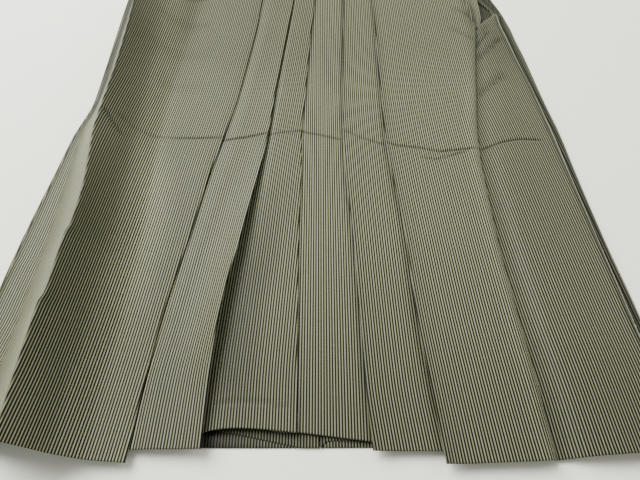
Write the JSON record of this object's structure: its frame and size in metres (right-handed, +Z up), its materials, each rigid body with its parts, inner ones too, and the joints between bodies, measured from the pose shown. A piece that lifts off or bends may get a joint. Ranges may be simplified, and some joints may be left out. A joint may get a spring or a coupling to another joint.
{
  "type": "hakama trousers",
  "caption": "Wide pleated striped silk trousers with divided legs, a waistband, long ties and a stiff back board, laid flat with the front up.",
  "frame": {"origin": "bottom centre of the whole garment as it lies, on the surface it lies on", "axes": "+X to the wearer's left, +Y from the hem to the waist, +Z up from the surface, out of the front of the garment"},
  "size_m": [0.5842, 1.0322, 0.0607],
  "materials": {
    "striped_silk": "satin",
    "striped_silk_bands": "satin",
    "covered_board": "satin"
  },
  "bodies": {
    "root": {"front_right": "striped_silk", "front_left": "striped_silk", "back_right": "striped_silk", "back_left": "striped_silk", "side_fold_right": "striped_silk", "side_fold_left": "striped_silk", "gusset": "striped_silk", "waistband": "striped_silk_bands", "front_tie_right": "striped_silk_bands", "front_tie_left": "striped_silk_bands", "back_tie_right": "striped_silk_bands", "back_tie_left": "striped_silk_bands", "back_board": "covered_board"}
  },
  "joints": []
}
